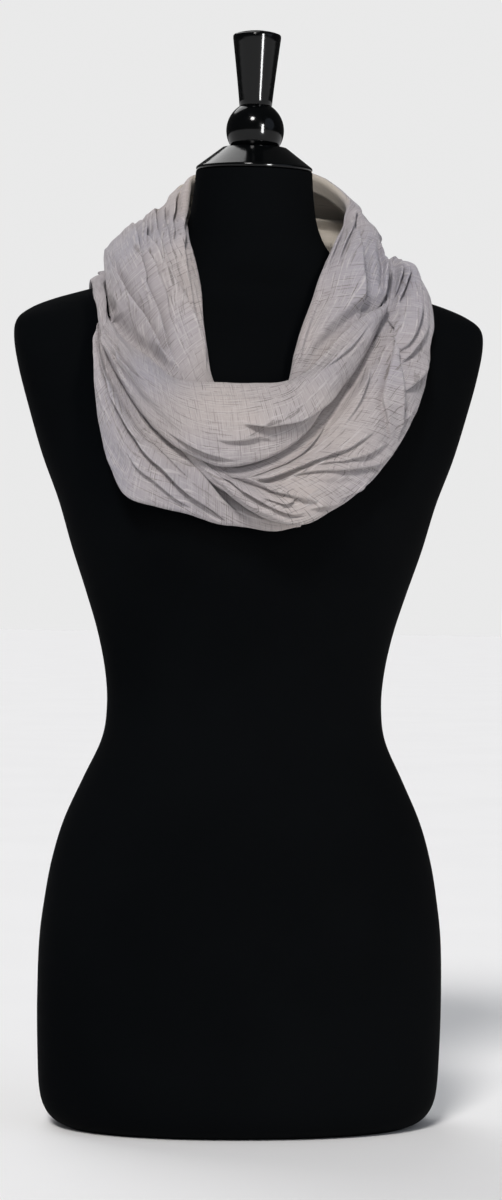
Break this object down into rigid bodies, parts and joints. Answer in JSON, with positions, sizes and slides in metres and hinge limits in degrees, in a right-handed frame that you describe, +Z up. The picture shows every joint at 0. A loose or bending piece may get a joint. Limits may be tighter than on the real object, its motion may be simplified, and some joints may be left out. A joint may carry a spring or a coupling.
{
  "type": "infinity scarf on a limbless dress form",
  "caption": "Soft woven loop scarf wound twice round the neck of a black limbless dress form with a turned finial, standing on its own flat base.",
  "frame": {"origin": "centre of the dress form's flat underside, on the floor that it stands on", "axes": "+Z up along the form, -Y to the form's front, +X to the viewer's right"},
  "size_m": [0.414, 0.2806, 0.9578],
  "materials": {
    "jersey": "matte black jersey",
    "lacquer": "gloss black",
    "cloth": "matte woven, warm light grey"
  },
  "bodies": {
    "root": {"dress_form": "jersey", "neck_plate": "lacquer", "finial": "lacquer", "collar_left": "cloth", "collar_nape": "cloth", "collar_right": "cloth", "front_upper": "cloth", "outer_nape": "cloth", "lower_right": "cloth", "lower_left": "cloth"}
  },
  "joints": []
}
